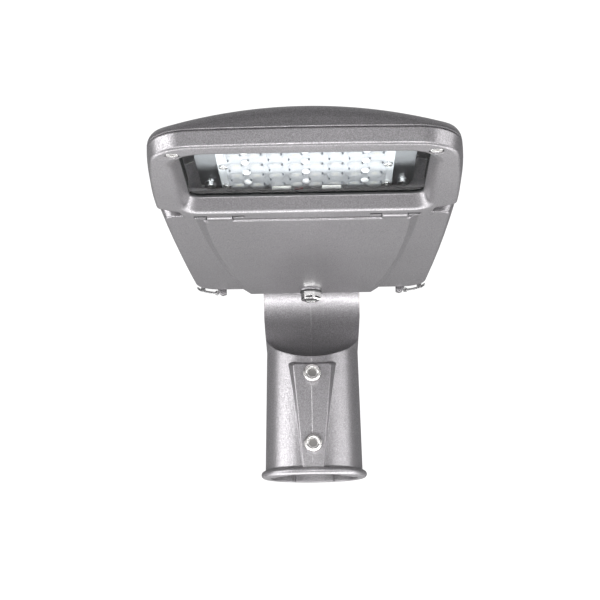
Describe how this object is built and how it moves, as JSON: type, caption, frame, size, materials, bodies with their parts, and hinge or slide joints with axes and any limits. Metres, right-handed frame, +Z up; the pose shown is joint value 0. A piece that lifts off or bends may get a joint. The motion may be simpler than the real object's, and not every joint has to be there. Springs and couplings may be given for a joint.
{
  "type": "street light head",
  "caption": "Flat LED street light head with a glazed optical bay, a hinged gear door underneath, a crowned housing and a tilting clamp bracket for the end of a pole.",
  "frame": {"origin": "centre of the pole socket's mouth, on the pole's axis", "axes": "+Z up along the pole, -Y the way the head reaches, +X to the right for someone who looks along +Y from under the head's front"},
  "size_m": [0.186, 0.3883, 0.1985],
  "materials": {
    "coated_casting": "fine silver-grey powder coat with a metallic sparkle",
    "stainless": "plain stainless steel",
    "zinc_steel": "bright zinc plated steel",
    "black_steel": "blackened steel",
    "window_glass": "clear tempered glass",
    "seal_rubber": "matt black silicone rubber",
    "plate_aluminium": "bare sheet aluminium",
    "board_white": "white solder mask",
    "chip_yellow": "phosphor coated LED",
    "lens_clear": "clear moulded optics",
    "connector_white": "white nylon",
    "lead_red": "red silicone lead",
    "gear_white": "moulded plastic housing",
    "gear_grey": "moulded plastic housing",
    "friction_pad": "plain fibre washer"
  },
  "bodies": {
    "bracket": {"pole_bracket": "coated_casting", "clamp_screws": "stainless", "friction_washers": "friction_pad"},
    "head": {"top_housing": "coated_casting", "lens_frame": "coated_casting", "bay_seal": "seal_rubber", "lens_gasket": "seal_rubber", "lens_glass": "window_glass", "glass_clips": "stainless", "clip_screws": "stainless", "frame_front_screws": "stainless", "frame_rear_screws": "stainless", "hinge_pins": "black_steel", "led_plate": "plate_aluminium", "plate_screws": "zinc_steel", "led_board": "board_white", "module_screws": "stainless", "led_chips": "chip_yellow", "led_lenses": "lens_clear", "board_connectors": "connector_white", "led_leads": "lead_red", "lead_grommets": "seal_rubber", "gear_tray": "plate_aluminium", "tray_screws": "zinc_steel", "led_driver": "gear_white", "driver_screws": "zinc_steel", "surge_protector": "gear_grey", "terminal_block": "gear_white", "cord_grip": "gear_grey", "cord_grip_screws": "zinc_steel", "entry_grommet": "seal_rubber", "latch_clips": "stainless", "latch_screws": "stainless", "pivot_bolt": "zinc_steel", "pivot_nut": "zinc_steel", "pivot_washers": "zinc_steel"},
    "door": {"driver_door": "coated_casting", "door_seal": "seal_rubber", "vent_plug": "stainless", "vent_ring": "seal_rubber"}
  },
  "joints": [
    {"name": "head_tilt", "type": "hinge", "parent": "bracket", "child": "head", "pos_m": [0, 0.008, 0.17], "axis": [-1, 0, 0], "range_deg": [-12.5, 87.5]},
    {"name": "door_swing", "type": "hinge", "parent": "head", "child": "door", "pos_m": [0, -0.22244, 0.14663], "axis": [-1, 0, 0], "range_deg": [0, 85]}
  ]
}
